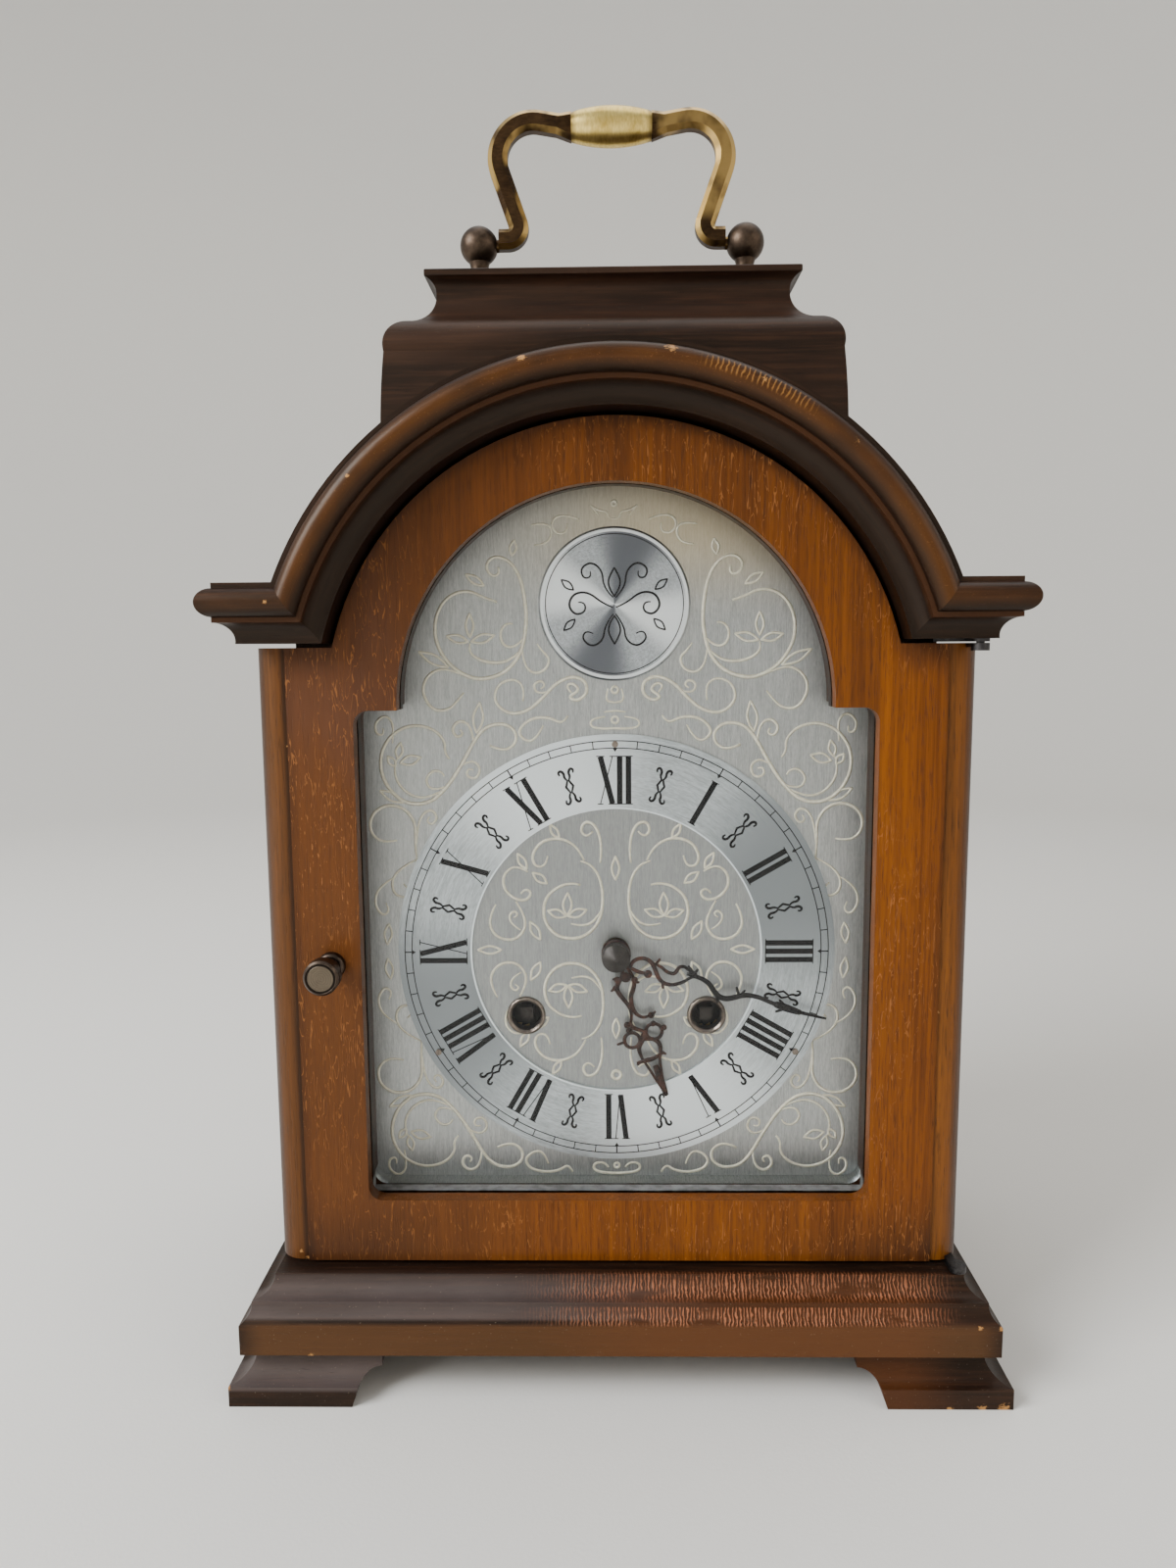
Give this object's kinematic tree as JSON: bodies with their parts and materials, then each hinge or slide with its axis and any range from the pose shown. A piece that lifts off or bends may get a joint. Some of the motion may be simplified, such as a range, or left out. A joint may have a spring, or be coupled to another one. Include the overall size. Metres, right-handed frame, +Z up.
{
  "type": "bracket clock",
  "caption": "Break-arch mantel clock with a caddy top, carrying handle, glazed arched front door, silvered dial, striking spring-driven movement and rear door",
  "frame": {"origin": "On the floor, under the middle of the four feet", "axes": "+Z up, the dial faces -Y, +X to the right of someone facing the dial"},
  "size_m": [0.2384, 0.145, 0.4029],
  "materials": {
    "walnut": "dark polished walnut",
    "case_veneer": "walnut veneer, satin",
    "door_veneer": "straight-grained veneer, polished",
    "door_strips": "walnut strip, polished",
    "inner_wood": "plain, unfinished",
    "antique_brass": "antique brass",
    "bronze": "dark bronze",
    "hinge_brass": "brushed",
    "glass": "clear",
    "dial_silver": "brushed, printed in black and cream",
    "hour_hand_copper": "oxidised",
    "hand_black": "blackened",
    "movement_brass": "polished",
    "movement_steel": "bright",
    "gong_steel": "blued"
  },
  "bodies": {
    "case": {"base_plinth": "walnut", "bracket_feet": "walnut", "case_sides": "case_veneer", "front_frame": "case_veneer", "rear_frame": "case_veneer", "roof": "walnut", "hood_arch": "walnut", "hood_ears": "walnut", "caddy_block": "walnut", "caddy_top_board": "walnut", "handle_posts": "bronze", "case_hinge_leaves": "hinge_brass", "door_catch": "movement_steel", "dial_plate": "dial_silver", "chapter_ring": "dial_silver", "ring_pins": "bronze", "medallion": "dial_silver", "winding_grommets": "bronze", "seat_board": "inner_wood", "seat_rails": "inner_wood", "front_plate": "movement_brass", "back_plate": "movement_brass", "plate_pillars": "movement_brass", "pendulum_cock": "movement_brass", "gong_block": "inner_wood", "gong": "gong_steel", "rear_case_leaves": "hinge_brass"},
    "front_door": {"door_frame": "door_veneer", "door_left_moulding": "door_strips", "door_right_moulding": "door_strips", "door_glass": "glass", "glass_retainer": "inner_wood", "door_knob": "bronze", "door_hinge_leaves": "hinge_brass", "door_strike_plate": "hinge_brass"},
    "handle": {"handle_arms": "antique_brass", "handle_grip": "antique_brass"},
    "rear_door": {"rear_door_panel": "case_veneer", "rear_door_knob": "antique_brass", "rear_door_leaves": "hinge_brass"},
    "minute_arbor": {"minute_hand": "hand_black", "hand_nut": "hand_black", "cannon_pinion": "movement_steel", "centre_wheel": "movement_brass"},
    "hour_pipe": {"hour_hand": "hour_hand_copper", "hour_wheel": "movement_brass"},
    "minute_wheel": {"minute_wheel": "movement_brass"},
    "intermediate_arbor": {"intermediate_wheel": "movement_brass"},
    "third_arbor": {"third_wheel": "movement_brass"},
    "escape_arbor": {"escape_wheel": "movement_brass"},
    "pendulum": {"pallets": "movement_steel", "pendulum_rod": "movement_steel", "pendulum_bob": "movement_brass"},
    "going_barrel": {"going_barrel": "movement_brass"},
    "going_winder": {"going_winder": "movement_steel"},
    "strike_barrel": {"strike_barrel": "movement_brass"},
    "strike_winder": {"strike_winder": "movement_steel"},
    "pin_wheel": {"pin_wheel": "movement_brass"},
    "fly": {"fly": "movement_steel"},
    "hammer": {"hammer": "movement_steel"}
  },
  "joints": [
    {"name": "door_swing", "type": "hinge", "parent": "case", "child": "front_door", "pos_m": [0.1056, -0.0582, 0.1326], "axis": [0, 0, 1], "range_deg": [0, 105]},
    {"name": "handle_swing", "type": "hinge", "parent": "case", "child": "handle", "pos_m": [0, 0, 0.3605], "axis": [1, 0, 0], "range_deg": [-85, 85]},
    {"name": "rear_door_swing", "type": "hinge", "parent": "case", "child": "rear_door", "pos_m": [-0.0752, 0.0697, 0.1326], "axis": [0, 0, 1], "range_deg": [0, 110]},
    {"name": "minute_turn", "type": "hinge", "parent": "case", "child": "minute_arbor", "pos_m": [0, 0, 0.1326], "axis": [0, 1, 0], "continuous": true},
    {"name": "hour_turn", "type": "hinge", "parent": "case", "child": "hour_pipe", "pos_m": [0, 0, 0.1326], "axis": [0, 1, 0], "continuous": true},
    {"name": "minute_wheel_turn", "type": "hinge", "parent": "case", "child": "minute_wheel", "pos_m": [0, 0, 0.1458], "axis": [0, 1, 0], "continuous": true},
    {"name": "intermediate_turn", "type": "hinge", "parent": "case", "child": "intermediate_arbor", "pos_m": [0.01938, 0, 0.13929], "axis": [0, 1, 0], "continuous": true},
    {"name": "third_turn", "type": "hinge", "parent": "case", "child": "third_arbor", "pos_m": [-0.01032, 0, 0.14735], "axis": [0, 1, 0], "continuous": true},
    {"name": "escape_turn", "type": "hinge", "parent": "case", "child": "escape_arbor", "pos_m": [0, 0, 0.15839], "axis": [0, 1, 0], "continuous": true},
    {"name": "going_barrel_turn", "type": "hinge", "parent": "case", "child": "going_barrel", "pos_m": [0.0292, 0, 0.1112], "axis": [0, 1, 0], "continuous": true},
    {"name": "going_winding", "type": "hinge", "parent": "case", "child": "going_winder", "pos_m": [0.0292, 0, 0.1112], "axis": [0, 1, 0], "continuous": true},
    {"name": "pendulum_swing", "type": "hinge", "parent": "case", "child": "pendulum", "pos_m": [0, 0.0311, 0.17109], "axis": [0, 1, 0], "range_deg": [-4, 4]},
    {"name": "pin_wheel_turn", "type": "hinge", "parent": "case", "child": "pin_wheel", "pos_m": [-0.03938, 0, 0.13917], "axis": [0, 1, 0], "continuous": true},
    {"name": "strike_barrel_turn", "type": "hinge", "parent": "case", "child": "strike_barrel", "pos_m": [-0.0292, 0, 0.1112], "axis": [0, 1, 0], "continuous": true},
    {"name": "strike_winding", "type": "hinge", "parent": "case", "child": "strike_winder", "pos_m": [-0.0292, 0, 0.1112], "axis": [0, 1, 0], "continuous": true},
    {"name": "fly_turn", "type": "hinge", "parent": "case", "child": "fly", "pos_m": [-0.03088, 0, 0.15389], "axis": [0, 1, 0], "continuous": true},
    {"name": "hammer_lift", "type": "hinge", "parent": "case", "child": "hammer", "pos_m": [-0.0564, 0, 0.127], "axis": [0, 1, 0], "range_deg": [0, 10], "stiffness_Nm_per_rad": 0.02, "springref_deg": -11.46}
  ],
  "couplings": [
    {"joint": "hour_turn", "follows": "minute_turn", "ratio": 0.083333},
    {"joint": "minute_wheel_turn", "follows": "minute_turn", "ratio": -0.33333},
    {"joint": "intermediate_turn", "follows": "minute_turn", "ratio": -0.13889},
    {"joint": "going_barrel_turn", "follows": "minute_turn", "ratio": 0.019841},
    {"joint": "third_turn", "follows": "minute_turn", "ratio": -9},
    {"joint": "escape_turn", "follows": "minute_turn", "ratio": 72},
    {"joint": "strike_barrel_turn", "follows": "pin_wheel_turn", "ratio": -0.14286},
    {"joint": "fly_turn", "follows": "pin_wheel_turn", "ratio": -7.5}
  ]
}
